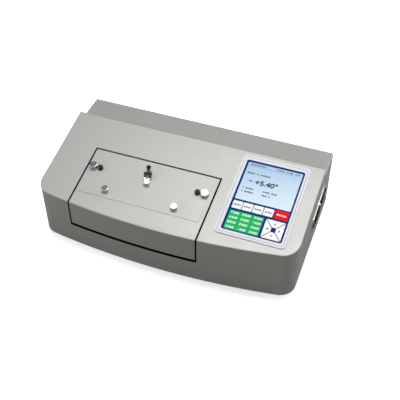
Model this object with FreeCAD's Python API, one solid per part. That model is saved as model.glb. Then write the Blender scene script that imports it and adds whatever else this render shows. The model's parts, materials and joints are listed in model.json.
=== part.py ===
"""Bench-top automatic polarimeter: housing, sample chamber, display, keypad, optics and drive.

Millimetres. +X is to the operator's right, -Y towards the operator, +Z up.
The origin is on the bench plane, under the middle of the whole instrument.
Inside this file X is first counted from the middle of the housing; `save` moves every piece by
MID_X, because the power entry on the right side stands proud of the housing.
"""
import FreeCAD, Part
import math
import os

V = FreeCAD.Vector
X_AXIS, Y_AXIS, Z_AXIS = V(1, 0, 0), V(0, 1, 0), V(0, 0, 1)
ORIGIN = V(0, 0, 0)

# ---- driving dimensions: housing ----
BODY_W = 480.0
BODY_D = 274.0
FOOT_H = 16.0
DECK_H = 120.4            # height of the rear deck above the housing's underside
PANEL_REAR_H = 138.8      # height of the sloping panel's rear edge above the underside
PANEL_SLOPE = 10.71       # degrees, falling towards the operator
DECK_D = 66.5             # depth of the deck behind the panel
BOW_R = 1424.5            # radius of the front's shallow bow in plan
CORNER_R = 30.0
EDGE_R = 2.0
WALL = 3.0
MID_X = -2.00             # the middle of the housing, seen from the middle of the whole instrument

HALF_W = BODY_W / 2
REAR_Y = BODY_D / 2
FRONT_Y = -BODY_D / 2
BASE_Z = FOOT_H
DECK_Z = BASE_Z + DECK_H
PANEL_Y = REAR_Y - DECK_D            # the panel's rear edge
PANEL_Z = BASE_Z + PANEL_REAR_H
SLOPE = math.radians(PANEL_SLOPE)
FIT_GAP = 0.2             # play between parts that only have to drop into each other
RUN_GAP = 0.05            # radial clearance of anything that turns

# ---- posts, base, back and feet ----
POST_HALF = 6.5
POST_TOP_Z = 43.0
WEB_T = 3.0               # web that ties each post to the side wall
SIDE_POST_X = HALF_W - WALL - POST_HALF
FRONT_POST_X, FRONT_POST_Y = 221.0, -102.0
SIDE_POST_Y, REAR_POST_Y = 20.0, 124.5
POSTS = [(side * x, y) for side in (-1, 1) for x, y in
         ((FRONT_POST_X, FRONT_POST_Y), (SIDE_POST_X, SIDE_POST_Y), (SIDE_POST_X, REAR_POST_Y))]
BASE_T = 1.6
BASE_TOP_Z = BASE_Z + BASE_T
REAR_PANEL_Y0, REAR_PANEL_Y1 = 131.4, 133.4
REAR_SCREW_ZS = (44.0, 118.0)
SCREW_R, SCREW_HEAD_R, SCREW_HEAD_H = 1.9, 3.8, 2.2
SOCKET_R, SOCKET_DEPTH = 1.3, 1.2
FEET = [(x, y) for x in (-196.0, 196.0) for y in (-76.0, 104.0)]
FOOT_R_TOP, FOOT_R_BOTTOM, FOOT_SCREW_R = 15.0, 12.5, 2.1
FOOT_SEAT_R, FOOT_SEAT_Z = 5.5, 7.0          # counterbore that hides the foot's screw
REAR_VENTS = (-150.0, 150.0)                 # middle of each group of slots in the back
REAR_VENT_HALF, REAR_VENT_H, REAR_VENT_Z, REAR_VENT_STEP, REAR_VENT_ROWS = 35.0, 4.0, 50.0, 10.0, 7
BASE_VENT_AT, BASE_VENT_STEP, BASE_VENT_COUNT = (-160.0, 50.0), (16.0, 14.0), (8, 4)
BASE_VENT_L, BASE_VENT_W = 10.0, 5.0

# ---- sample chamber and its lid ----
LID_X0, LID_X1 = -169.9, 68.6
LID_REAR_Y = -4.5
LID_BOTTOM_Z = BASE_Z + 50.1
LID_GAP = 3.2
GASKET_SINK = 0.5         # how far the gasket at the lid's sides lies below the outer surface
LID_WALL = 3.0
LID_RIB = 10.0            # depth of the ribs along the lid's sides
LID_RIB_W = 2.5
LID_RIB_END_Y = -30.0
FINGER_GAP = 7.0          # opening under the lid's front edge
LID_MID_X = (LID_X0 + LID_X1) / 2
LEDGE_SEAL_T = 1.0         # seal on the ledge under the lid's front edge
TUB_WALL = 2.0
TUB_FLOOR_Z = 58.0        # inside of the chamber floor
TUB_REAR_Y = -27.0        # inside of the chamber's rear wall
HINGE_Y, HINGE_Z = 12.0, 128.0
HINGE_PIN_R = 2.0
HINGE_ARM_W = 8.0
HINGE_ARM_OFFSETS = (-89.0, 89.0)
HINGE_ARM_T, HINGE_ARM_Z, HINGE_DROP_Y = 5.0, 112.0, -21.0
HINGE_BOSS_R = 6.0
HINGE_EAR_T, HINGE_TAB, HINGE_TAB_T, HINGE_EAR_OFFSET = 3.0, 8.0, 2.0, 3.0
HINGE_PIN_REACH = 14.0
CHANNEL_FLOOR_Z = 106.0   # hinge channel behind the chamber
CHANNEL_REAR_Y = 22.0
TUB_X0, TUB_X1 = LID_X0 - 0.7, LID_X1 + 0.7
RAIL_X0, RAIL_X1, RAIL_HALF, RAIL_T = -165.0, 64.0, 20.0, 4.0
CRADLE_XS, CRADLE_HALF_L, CRADLE_HALF_W = (-120.0, 19.0), 7.0, 17.0
CRADLE_VEE = 30.0         # depth of the V's bottom below the optical axis

# ---- fittings on the lid, counted from their own middle line ----
FIT_X = -52.5
STUD_ROW_Y = -43.7
STUD_OFFSET, STUD_R = 106.5, 7.4
PLUG_OFFSET, PLUG_R, PLUG_H = 93.0, 4.8, 6.0
FRONT_STUD_Y, FRONT_STUD_OFFSET, FRONT_STUD_R = -85.5, 65.0, 6.4
STUD_H, STUD_ROUND = 7.5, 1.2
LEVER_PIVOT_Y = -51.0
LEVER_L, LEVER_ANGLE = 31.0, 14.0
LEVER_STEM_R, LEVER_BOSS_R, LEVER_BOSS_H = 3.0, 6.0, 7.0
LEVER_ARM_W0, LEVER_ARM_W1 = 3.5, 6.5        # the fork's lower and upper face above the pad
LEVER_FORK_L, LEVER_PRONG_W, LEVER_SPREAD = 20.0, 2.6, 8.0
LEVER_NUT_H = 2.8
LEVER_BALL_R, LEVER_BALL_RISE = 4.2, 2.1
PLUG_ROUND = 1.4
PAD = (-167.0, 62.0, -100.0, -23.5)          # raised pad that carries the fittings
PAD_H = 0.6

# ---- optical axis ----
AXIS_Y, AXIS_Z = -75.0, 95.0
WINDOW_R, WINDOW_T = 12.0, 2.0
BENCH_TOP_Z, BENCH_T = 50.0, 6.0
BENCH_LEG_XS, BENCH_LEG_R = (-205.0, -90.0, 60.0, 200.0), 6.0
GEAR_TEETH, GEAR_MODULE = 40, 1.0
GEAR_R = GEAR_TEETH * GEAR_MODULE / 2
WORM_R = 5.0
WHEEL_X, WHEEL_W = 155.0, 4.0
WORM_Z = AXIS_Z - GEAR_R - WORM_R
PITCH = math.pi * GEAR_MODULE
TOOTH_ABOVE, TOOTH_BELOW = 0.9, 1.2          # tooth height above and depth below the pitch circle
WORM_L = 6 * PITCH
WORM_PHASE = 270.0        # turn at which the thread meshes with the wheel at rest
SHAFT_R = 2.5
LAMP_X0, LAMP_X1 = -233.0, -176.0
LAMP_FIN_L, LAMP_HALF = 12.0, 22.0
LENS_X, FILTER_X, POLARISER_X = -207.0, -196.0, -184.0
COIL_X0, COIL_X1, COIL_R, ROD_R = 78.0, 126.0, 17.0, 5.0
UPRIGHT_XS = ((140.0, 146.0), (164.0, 170.0))
BEARING_R, HUB_R, HUB_BORE = 14.0, 10.0, 7.0
WORM_EARS = ((-99.0, -93.0), (-57.0, -51.0))
MOTOR_Y0, MOTOR_Y1, MOTOR_R = -46.0, -8.0, 14.0
DETECTOR_X0, DETECTOR_X1, DETECTOR_R, DETECTOR_BORE = 180.0, 228.0, 17.0, 9.0

# ---- display and keypad, on the panel: X and horizontal Y of each edge ----
BEZEL = (92.0, 217.0, -109.0, 61.0)
BLUE = (102.0, 208.5, -100.0, 50.5)
SCREEN = (105.7, 205.3, -35.0, 47.0)
SOFT_KEYS = (106.0, 179.0, -55.0, -39.0)
START_KEY = (181.5, 205.2, -56.0, -37.6)
DIGIT_KEYS = (106.2, 167.0, -97.3, -59.5)
ARROW_KEYS = (170.8, 205.2, -97.3, -59.5)
BEZEL_T = 1.8
BEZEL_RIM = 6.0           # how far the bezel's flange reaches past the hole in the panel
FILM_LEDGE = 2.0
FILM_TOP, FILM_T = 1.2, 0.6
KEY_TOP, KEY_BOTTOM = 1.6, -1.2
KEY_GAP = 1.2
KEY_STEM_R = 2.4
KEY_TRAVEL = 0.6
ARROW_HUB, ARROW_SLIT = 0.24, 0.04
ARROW_STEM = 0.64         # where an arrow key's stem stands, as a share of the field's half size
BOARD_TOP, BOARD_T = -4.4, 1.6               # the keypad's circuit board, above the panel

# ---- power entry on the right side, drawn level and then laid parallel to the panel ----
ENTRY_Y, ENTRY_Z = 43.0, 85.0
ENTRY_L, ENTRY_H, ENTRY_T = 98.0, 28.0, 1.5
RIM_PROUD = 2.5           # how far the black bezels, and the rib between them, stand out of the plate
ROCKER_PROUD = 1.0        # how far a level rocker would stand out of the plate, sunk in its bezel
ENTRY_SCREW = 41.5
ROCKER_NECK, INLET_NECK, NECK_H = 15.5, 14.2, 10.5        # half lengths and half height of the bezels
BLOCK_DEPTH, BLOCK_H = 26.0, 12.0                         # the moulded body behind the plate
INLET_HALF_L, INLET_HALF_H, INLET_DEPTH, INLET_BEVEL = 12.0, 8.0, 16.0, 4.0
INLET_PINS = ((-7.0, -1.5), (0.0, 2.5), (7.0, -1.5))
ROCKER_Y, INLET_Y = ENTRY_Y + 17.5, ENTRY_Y - 15.5
ROCKER_L, ROCKER_H, ROCKER_TILT = 27.0, 18.0, 9.0
ROCKER_AXLE_X, ROCKER_AXLE_R, ROCKER_AXLE_L = HALF_W - 2.0, 1.6, 20.4

# ---- electronics ----
MAIN_BOARD_Z, MAIN_BOARD_T = 30.0, 1.6
MAIN_BOARD = (-222.0, -12.0, 34.0, 124.0)
BOARD_PILLARS = [(x, y) for x in (MAIN_BOARD[0] + 6, MAIN_BOARD[1] - 6)
                 for y in (MAIN_BOARD[2] + 6, MAIN_BOARD[3] - 6)]
CHIPS = ((-190.0, 60.0, 30.0, 30.0, 3.0), (-150.0, 90.0, 18.0, 12.0, 4.0), (-120.0, 55.0, 22.0, 22.0, 3.0),
         (-90.0, 95.0, 40.0, 9.0, 10.0), (-60.0, 55.0, 14.0, 20.0, 5.0))     # x, y, width, depth, height
CAPACITORS = ((-40.0, 100.0), (-28.0, 100.0))
SUPPLY = (40.0, 190.0, 36.0, 124.0)
SUPPLY_TOP_Z, SUPPLY_WALL = 70.0, 1.2
SUPPLY_SLOTS, SUPPLY_SLOT_W, SUPPLY_EDGE = 11, 6.0, 12.0


# ---- small helpers ----
def box(x0, x1, y0, y1, z0, z1):
    return Part.makeBox(x1 - x0, y1 - y0, z1 - z0, V(x0, y0, z0))


def cyl(radius, length, base, axis=Z_AXIS):
    return Part.makeCylinder(radius, length, V(*base), axis)


def cyl_x(radius, x0, x1, y, z):
    return cyl(radius, x1 - x0, (x0, y, z), X_AXIS)


def cyl_y(radius, y0, y1, x, z):
    return cyl(radius, y1 - y0, (x, y0, z), Y_AXIS)


def tube_x(outer, inner, x0, x1, y, z):
    return cyl_x(outer, x0, x1, y, z).cut(cyl_x(inner, x0 - 1, x1 + 1, y, z))


def fuse(shapes):
    whole = shapes[0]
    for shape in shapes[1:]:
        whole = whole.fuse(shape)
    return whole.removeSplitter()


def cut_all(shape, tools):
    for tool in tools:
        shape = shape.cut(tool)
    return shape


def face_of(points):
    return Part.Face(Part.makePolygon([V(*p) for p in points] + [V(*points[0])]))


def edges_along(shape, axis):
    return [e for e in shape.Edges if abs(e.tangentAt(e.FirstParameter).dot(axis)) > 0.99]


def circles_above(shape, z):
    return [e for e in shape.Edges if e.Curve.TypeId == "Part::GeomCircle" and e.CenterOfMass.z > z]


def rounded_box(x0, x1, y0, y1, z0, z1, radius):
    block = box(x0, x1, y0, y1, z0, z1)
    return block.makeFillet(radius, edges_along(block, Z_AXIS))


def panel_z(y):
    return PANEL_Z + (y - PANEL_Y) * math.tan(SLOPE)


def up_slope(y):
    """Distance along the panel from its rear edge, for a horizontal position y."""
    return (y - PANEL_Y) / math.cos(SLOPE)


def on_panel(shape):
    """Lays a shape on the panel, drawn flat with the panel's rear edge at y = 0 and surface at z = 0."""
    shape = shape.copy()
    shape.rotate(ORIGIN, X_AXIS, PANEL_SLOPE)
    shape.translate(V(0, PANEL_Y, PANEL_Z))
    return shape


def panel_block(x0, x1, y0, y1, w0, w1, radius=0.0):
    """A block on the panel between heights w0 and w1, with its corners rounded in plan."""
    v0, v1 = up_slope(y0), up_slope(y1)
    if radius:
        return on_panel(rounded_box(x0, x1, v0, v1, w0, w1, radius))
    return on_panel(box(x0, x1, v0, v1, w0, w1))


def shrink(rect, by):
    x0, x1, y0, y1 = rect
    return x0 + by, x1 - by, y0 + by, y1 - by


def panel_cyl(radius, x, y, w0, w1):
    return on_panel(cyl(radius, w1 - w0, (x, up_slope(y), w0)))


def save(name, shape):
    shape = shape.copy()
    shape.translate(V(MID_X, 0, 0))
    shape.exportStep(os.path.join("parts", name + ".step"))


# ---- the housing's envelope, and the same envelope shrunk by a wall thickness ----
def plan_prism(inset, rear_y, z0, z1):
    half = HALF_W - inset
    radius = BOW_R - inset
    centre_y = FRONT_Y + BOW_R
    side_y = centre_y - math.sqrt(radius ** 2 - half ** 2)
    left, right, middle = V(-half, side_y, z0), V(half, side_y, z0), V(0, centre_y - radius, z0)
    back_left, back_right = V(-half, rear_y, z0), V(half, rear_y, z0)
    outline = Part.Wire([
        Part.Arc(left, middle, right).toShape(),
        Part.makeLine(right, back_right),
        Part.makeLine(back_right, back_left),
        Part.makeLine(back_left, left),
    ])
    prism = Part.Face(outline).extrude(V(0, 0, z1 - z0))
    corners = [e for e in edges_along(prism, Z_AXIS) if e.CenterOfMass.y < 0]
    return prism.makeFillet(CORNER_R - inset, corners)


def side_profile(inset, rear_y, z0):
    drop = inset / math.cos(SLOPE)
    step_y = PANEL_Y - inset
    front_y = FRONT_Y - 20
    points = [
        (0, front_y, z0), (0, rear_y, z0), (0, rear_y, DECK_Z - inset), (0, step_y, DECK_Z - inset),
        (0, step_y, panel_z(step_y) - drop), (0, front_y, panel_z(front_y) - drop),
    ]
    profile = face_of(points).extrude(V(BODY_W + 20, 0, 0))
    profile.translate(V(-HALF_W - 10, 0, 0))
    return profile


def envelope(inset=0.0):
    """The housing's outer form; with an inset, the space inside its walls, open below and behind."""
    if inset:
        rear_y, z0 = REAR_Y + 10, BASE_Z - 10
    else:
        rear_y, z0 = REAR_Y, BASE_Z
    return plan_prism(inset, rear_y, z0, PANEL_Z + 20).common(side_profile(inset, rear_y, z0))


def rounded_envelope():
    body = envelope()

    def is_top_edge(edge):
        middle = edge.CenterOfMass
        upright = abs(edge.tangentAt(edge.FirstParameter).z) > 0.9
        return middle.z > BASE_Z + 40 and not upright and middle.y < REAR_Y - 1 and not (
            abs(middle.y - PANEL_Y) < 1 and middle.z < DECK_Z + 1)

    return body.makeFillet(EDGE_R, [e for e in body.Edges if is_top_edge(e)])


OUTER = rounded_envelope()
INNER = envelope(WALL)
UNDER_PANEL = envelope(WALL + 0.2)


def lid_zone(grow, z_low, far=FRONT_Y - 30):
    return box(LID_X0 - grow, LID_X1 + grow, far, LID_REAR_Y + grow, z_low, PANEL_Z + 30)


# ---- housing ----
def top_cover():
    cover = OUTER.cut(INNER)
    posts = []
    for x, y in POSTS:
        top = DECK_Z - 1 if y == REAR_POST_Y else POST_TOP_Z
        side = math.copysign(1, x)
        x0, x1 = sorted((x - side * POST_HALF, x + side * POST_HALF))
        posts.append(box(x0, x1, y - POST_HALF, min(y + POST_HALF, REAR_PANEL_Y0), BASE_TOP_Z, top))
        x0, x1 = sorted((x, side * (HALF_W - 1)))
        posts.append(box(x0, x1, y - WEB_T / 2, y + WEB_T / 2, BASE_TOP_Z, top))
    cover = fuse([cover] + [post.common(OUTER) for post in posts])
    for x, y in POSTS:
        cover = cover.cut(cyl(SCREW_R, 16, (x, y, BASE_Z)))
    for side in (-1, 1):
        for z in REAR_SCREW_ZS:
            cover = cover.cut(cyl_y(SCREW_R, REAR_PANEL_Y0 - 9, REAR_PANEL_Y0 + 1, side * SIDE_POST_X, z))
    cover = cover.cut(lid_zone(LID_GAP, LID_BOTTOM_Z - FINGER_GAP))
    cover = cover.cut(panel_block(*shrink(BEZEL, BEZEL_RIM), -12, 5, 4))
    x0, x1, y0, y1, z0, z1 = entry_block()
    entry = [box(HALF_W - 10, HALF_W + 5, y0 - FIT_GAP, y1 + FIT_GAP, z0 - FIT_GAP, z1 + FIT_GAP)]
    for side in (-1, 1):
        entry.append(cyl_x(SCREW_R, HALF_W - 10, HALF_W + 5, ENTRY_Y + side * ENTRY_SCREW, ENTRY_Z))
    return cut_all(cover, [entry_tilt(tool) for tool in entry])


def base_plate():
    plate = plan_prism(WALL + 0.4, REAR_PANEL_Y0 - 0.4, BASE_Z, BASE_TOP_Z)
    for x, y in POSTS + FEET:
        plate = plate.cut(cyl(FOOT_SCREW_R, 10, (x, y, BASE_Z - 4)))
    for row in range(BASE_VENT_COUNT[1]):
        for column in range(BASE_VENT_COUNT[0]):
            x = BASE_VENT_AT[0] + column * BASE_VENT_STEP[0]
            y = BASE_VENT_AT[1] + row * BASE_VENT_STEP[1]
            slot = rounded_box(x, x + BASE_VENT_L, y, y + BASE_VENT_W, BASE_Z - 2, BASE_TOP_Z + 2, 2.4)
            plate = plate.cut(slot)
    pillars = [cyl(3.5, MAIN_BOARD_Z - BASE_TOP_Z, (x, y, BASE_TOP_Z)) for x, y in BOARD_PILLARS]
    return fuse([plate] + pillars)



def rubber_feet():
    feet = []
    for x, y in FEET:
        foot = Part.makeCone(FOOT_R_BOTTOM, FOOT_R_TOP, FOOT_H, V(x, y, 0), Z_AXIS)
        rim = [e for e in foot.Edges if e.Curve.TypeId == "Part::GeomCircle" and e.CenterOfMass.z < 1]
        foot = foot.makeFillet(1.5, rim)
        foot = foot.cut(cyl(FOOT_SEAT_R, FOOT_SEAT_Z + 1, (x, y, -1)))
        feet.append(foot.cut(cyl(FOOT_SCREW_R, FOOT_H + 2, (x, y, -1))))
    return Part.makeCompound(feet)


def pan_screw(base, axis, length):
    """A pan-head screw: base is the centre of the seat under the head, and axis points along the shank."""
    base, axis = V(*base), V(*axis)
    head = Part.makeCylinder(SCREW_HEAD_R, SCREW_HEAD_H, base - axis * SCREW_HEAD_H, axis)
    crown = [e for e in head.Edges if e.Curve.TypeId == "Part::GeomCircle"
             and (e.CenterOfMass - base).Length > SCREW_HEAD_H / 2]
    head = head.makeFillet(1.0, crown)
    socket = Part.makeCylinder(SOCKET_R, SOCKET_DEPTH, base - axis * SCREW_HEAD_H, axis)
    shank = Part.makeCylinder(SCREW_R - 0.1, length, base, axis)
    return head.cut(socket).fuse(shank)


def case_screws():
    screws = [pan_screw((x, y, BASE_Z), (0, 0, 1), 14) for x, y in POSTS]
    screws += [pan_screw((x, y, FOOT_SEAT_Z), (0, 0, 1), 12) for x, y in FEET]
    for side in (-1, 1):
        for z in REAR_SCREW_ZS:
            screws.append(pan_screw((side * SIDE_POST_X, REAR_PANEL_Y1, z), (0, -1, 0), 9))
        y = ENTRY_Y + side * ENTRY_SCREW
        screws.append(entry_tilt(pan_screw((HALF_W + ENTRY_T, y, ENTRY_Z), (-1, 0, 0), 10)))
    return Part.makeCompound(screws)


def rear_panel():
    half = HALF_W - WALL - 0.4
    panel = box(-half, half, REAR_PANEL_Y0, REAR_PANEL_Y1, BASE_Z + 0.4, DECK_Z - WALL - 0.4)
    for side in (-1, 1):
        for z in REAR_SCREW_ZS:
            panel = panel.cut(cyl_y(SCREW_R, REAR_PANEL_Y0 - 1, REAR_PANEL_Y1 + 1, side * SIDE_POST_X, z))
    for middle in REAR_VENTS:
        for row in range(REAR_VENT_ROWS):
            z = REAR_VENT_Z + row * REAR_VENT_STEP
            panel = panel.cut(box(middle - REAR_VENT_HALF, middle + REAR_VENT_HALF,
                                  REAR_PANEL_Y0 - 1, REAR_PANEL_Y1 + 1, z, z + REAR_VENT_H))
    return panel


# ---- power entry ----
def obround_plate(length, height, x0, x1, y, z):
    half = (length - height) / 2
    plate = box(x0, x1, y - half, y + half, z - height / 2, z + height / 2)
    ends = [cyl_x(height / 2, x0, x1, y + side * half, z) for side in (-1, 1)]
    return fuse([plate] + ends)


def entry_block():
    """Limits of the moulded body behind the plate: x0, x1, y0, y1, z0, z1."""
    return (HALF_W - BLOCK_DEPTH, HALF_W - 0.2, INLET_Y - INLET_NECK - 1.6, ROCKER_Y + ROCKER_NECK + 1.8,
            ENTRY_Z - BLOCK_H, ENTRY_Z + BLOCK_H)


def entry_tilt(shape):
    shape.rotate(V(0, ENTRY_Y, ENTRY_Z), X_AXIS, PANEL_SLOPE)
    return shape


def power_entry_plate():
    plate = obround_plate(ENTRY_L, ENTRY_H, HALF_W, HALF_W + ENTRY_T, ENTRY_Y, ENTRY_Z)
    plate = plate.makeFillet(0.6, [e for e in plate.Edges if e.CenterOfMass.x > HALF_W + ENTRY_T - 0.1])
    for y, half in ((ROCKER_Y, ROCKER_NECK + FIT_GAP), (INLET_Y, INLET_NECK + FIT_GAP)):
        high = NECK_H + FIT_GAP
        plate = plate.cut(box(HALF_W - 1, HALF_W + 5, y - half, y + half, ENTRY_Z - high, ENTRY_Z + high))
    for side in (-1, 1):
        plate = plate.cut(cyl_x(SCREW_R, HALF_W - 1, HALF_W + 5, ENTRY_Y + side * ENTRY_SCREW, ENTRY_Z))
    rib = box(HALF_W, HALF_W + ENTRY_T + RIM_PROUD, INLET_Y + INLET_NECK + FIT_GAP,
              ROCKER_Y - ROCKER_NECK - FIT_GAP, ENTRY_Z - NECK_H, ENTRY_Z + NECK_H)
    rib = rib.makeFillet(0.6, [e for e in rib.Edges if e.CenterOfMass.x > HALF_W + ENTRY_T + RIM_PROUD - 0.1])
    return entry_tilt(plate.fuse(rib))


def mains_inlet():
    """One moulded body behind the plate: the switch well and the three-pin inlet stand through it."""
    outer_x = HALF_W + ENTRY_T + RIM_PROUD
    necks = []
    for y, half in ((ROCKER_Y, ROCKER_NECK), (INLET_Y, INLET_NECK)):
        neck = box(HALF_W - 1, outer_x, y - half, y + half, ENTRY_Z - NECK_H, ENTRY_Z + NECK_H)
        necks.append(neck.makeFillet(0.8, [e for e in neck.Edges if e.CenterOfMass.x > outer_x - 0.1]))
    body = fuse([box(*entry_block())] + necks)
    half_l, half_h = ROCKER_L / 2 + 0.5, ROCKER_H / 2 + 0.05
    body = body.cut(box(HALF_W - 10, outer_x + 1, ROCKER_Y - half_l, ROCKER_Y + half_l,
                        ENTRY_Z - half_h, ENTRY_Z + half_h))
    recess = box(HALF_W - INLET_DEPTH, outer_x + 1, INLET_Y - INLET_HALF_L, INLET_Y + INLET_HALF_L,
                 ENTRY_Z - INLET_HALF_H, ENTRY_Z + INLET_HALF_H)
    bevels = [e for e in edges_along(recess, X_AXIS) if e.CenterOfMass.z > ENTRY_Z]
    body = body.cut(recess.makeChamfer(INLET_BEVEL, bevels))
    pins = [box(HALF_W - INLET_DEPTH - 1, HALF_W - 1, INLET_Y + dy - 1, INLET_Y + dy + 1,
                ENTRY_Z + dz - 2, ENTRY_Z + dz + 2) for dy, dz in INLET_PINS]
    half_axle = ROCKER_AXLE_L / 2 + 0.2
    axle_hole = cyl(ROCKER_AXLE_R + RUN_GAP, 2 * half_axle, (ROCKER_AXLE_X, ROCKER_Y, ENTRY_Z - half_axle))
    return entry_tilt(fuse([body.cut(axle_hole)] + pins))


def power_rocker():
    """The rocker with its two axle stubs; its forward half is pressed in at rest."""
    half_l, half_h = ROCKER_L / 2, ROCKER_H / 2 - FIT_GAP
    low_x, top_x = HALF_W - 3.5, HALF_W + ENTRY_T + ROCKER_PROUD
    points = [
        (low_x, -half_l + 3, 0), (low_x, half_l - 3, 0), (top_x - 1.6, half_l - 0.6, 0),
        (top_x - 0.4, half_l - 1.0, 0), (top_x - 2.2, 0, 0), (top_x - 0.4, -half_l + 1.0, 0),
        (top_x - 1.6, -half_l + 0.6, 0),
    ]
    rocker = face_of(points).extrude(V(0, 0, 2 * half_h))
    rocker.translate(V(0, ROCKER_Y, ENTRY_Z - half_h))
    axle = cyl(ROCKER_AXLE_R, ROCKER_AXLE_L, (ROCKER_AXLE_X, ROCKER_Y, ENTRY_Z - ROCKER_AXLE_L / 2))
    rocker = rocker.fuse(axle)
    rocker.rotate(V(ROCKER_AXLE_X, ROCKER_Y, ENTRY_Z), Z_AXIS, -ROCKER_TILT)
    return entry_tilt(rocker)


# ---- chamber lid ----
def hinge_arm(x):
    """A gooseneck: down from the lid, back under the panel's edge, and up to a boss on the hinge pin."""
    x0, x1 = x - HINGE_ARM_W / 2, x + HINGE_ARM_W / 2
    y0, y1 = HINGE_DROP_Y, HINGE_DROP_Y + HINGE_ARM_T
    down = box(x0, x1, y0, y1, HINGE_ARM_Z, panel_z(y1 - 2) - LID_WALL + 0.5)
    back = box(x0, x1, y0, HINGE_Y + 4, HINGE_ARM_Z, HINGE_ARM_Z + HINGE_ARM_T)
    rise = box(x0, x1, HINGE_Y - 4, HINGE_Y + 4, HINGE_ARM_Z, HINGE_Z)
    boss = cyl_x(HINGE_BOSS_R, x0, x1, HINGE_Y, HINGE_Z)
    eye = cyl_x(HINGE_PIN_R + RUN_GAP, x0 - 1, x1 + 1, HINGE_Y, HINGE_Z)
    return fuse([down, back, rise, boss]).cut(eye)


def chamber_lid():
    zone = lid_zone(0, LID_BOTTOM_Z)
    skin = OUTER.common(zone).cut(envelope(LID_WALL))
    ribs = []
    for x0, x1 in ((LID_X0, LID_X0 + LID_RIB_W), (LID_X1 - LID_RIB_W, LID_X1)):
        strip = box(x0, x1, FRONT_Y - 30, LID_RIB_END_Y, LID_BOTTOM_Z, PANEL_Z)
        ribs.append(envelope(LID_WALL - 1).common(strip).cut(envelope(LID_RIB)))
    arms = [hinge_arm(LID_MID_X + offset) for offset in HINGE_ARM_OFFSETS]
    lid = fuse([skin] + ribs + arms)
    lid = fuse([lid, panel_block(*PAD, -1.0, PAD_H, 3)])
    return lid.cut(panel_cyl(LEVER_STEM_R + RUN_GAP, FIT_X, LEVER_PIVOT_Y, -12, 5))


def rounded_stud(radius, height, rounding, x, y):
    """A flat-topped round stud standing on the lid's pad, with its top edge rounded."""
    stud = cyl(radius, height, (x, up_slope(y), PAD_H))
    return on_panel(stud.makeFillet(rounding, circles_above(stud, PAD_H + 1)))


def lid_studs():
    places = [(STUD_R, side * STUD_OFFSET, STUD_ROW_Y) for side in (-1, 1)]
    places += [(FRONT_STUD_R, side * FRONT_STUD_OFFSET, FRONT_STUD_Y) for side in (-1, 1)]
    return Part.makeCompound([rounded_stud(radius, STUD_H, STUD_ROUND, FIT_X + offset, y)
                              for radius, offset, y in places])


def lid_plugs():
    return Part.makeCompound([rounded_stud(PLUG_R, PLUG_H, PLUG_ROUND, FIT_X + side * PLUG_OFFSET,
                                           STUD_ROW_Y) for side in (-1, 1)])


def lever_fork(low, high):
    """Two prongs that spread from the boss to a bridge, drawn flat between two heights."""
    half = LEVER_PRONG_W / 2
    prongs = []
    for side in (-1, 1):
        prong = box(-half, half, 0, LEVER_FORK_L, low, high)
        prong.rotate(ORIGIN, Z_AXIS, -side * LEVER_SPREAD)
        prong.translate(V(side * LEVER_STEM_R, 0, 0))
        prongs.append(prong)
    bridge = box(-7.2, 7.2, LEVER_FORK_L - 3, LEVER_FORK_L + 0.5, low, high)
    return prongs + [bridge]


def lid_lever():
    """Forked lever on a stem through the lid, with a ball at its far end."""
    nut_w = -(LID_WALL + LEVER_NUT_H + FIT_GAP)
    stem = cyl(LEVER_STEM_R, PAD_H + 1 - nut_w, (0, 0, nut_w))
    nut = cyl(LEVER_STEM_R + 2, LEVER_NUT_H, (0, 0, nut_w))
    boss = cyl(LEVER_BOSS_R, LEVER_BOSS_H, (0, 0, PAD_H + FIT_GAP))
    boss = boss.makeFillet(1.5, circles_above(boss, PAD_H + 3))
    low, high = PAD_H + LEVER_ARM_W0, PAD_H + LEVER_ARM_W1
    middle = (low + high) / 2
    neck = Part.makeCylinder(1.5, LEVER_L - LEVER_FORK_L, V(0, LEVER_FORK_L - 1, middle), V(0, 1, 0.18))
    ball = Part.makeSphere(LEVER_BALL_R, V(0, LEVER_L, middle + LEVER_BALL_RISE))
    arm = fuse([stem, nut, boss, neck] + lever_fork(low, high))
    lever = Part.makeCompound([arm.cut(ball), ball])
    lever.rotate(ORIGIN, Z_AXIS, LEVER_ANGLE)
    lever.translate(V(FIT_X, up_slope(LEVER_PIVOT_Y), 0))
    return on_panel(lever)


def lid_hinge_brackets():
    """Two angle brackets beside each hinge arm, standing on the channel floor."""
    brackets = []
    y0, y1 = HINGE_Y - HINGE_BOSS_R, HINGE_Y + HINGE_BOSS_R
    half = HINGE_EAR_T / 2
    for offset in HINGE_ARM_OFFSETS:
        for side in (-1, 1):
            x = LID_MID_X + offset + side * (HINGE_ARM_W / 2 + HINGE_EAR_OFFSET)
            ear = box(x - half, x + half, y0, y1, CHANNEL_FLOOR_Z, HINGE_Z)
            eye = cyl_x(HINGE_BOSS_R, x - half, x + half, HINGE_Y, HINGE_Z)
            tab_x0, tab_x1 = sorted((x, x + side * HINGE_TAB))
            tab = box(tab_x0, tab_x1, y0, y1, CHANNEL_FLOOR_Z, CHANNEL_FLOOR_Z + HINGE_TAB_T)
            pin_hole = cyl_x(HINGE_PIN_R, x - 5, x + 5, HINGE_Y, HINGE_Z)
            brackets.append(fuse([ear, eye, tab]).cut(pin_hole))
    return Part.makeCompound(brackets)


def lid_hinge_pin():
    x0, x1 = (LID_MID_X + offset for offset in HINGE_ARM_OFFSETS)
    return cyl_x(HINGE_PIN_R, x0 - HINGE_PIN_REACH, x1 + HINGE_PIN_REACH, HINGE_Y, HINGE_Z)


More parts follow.
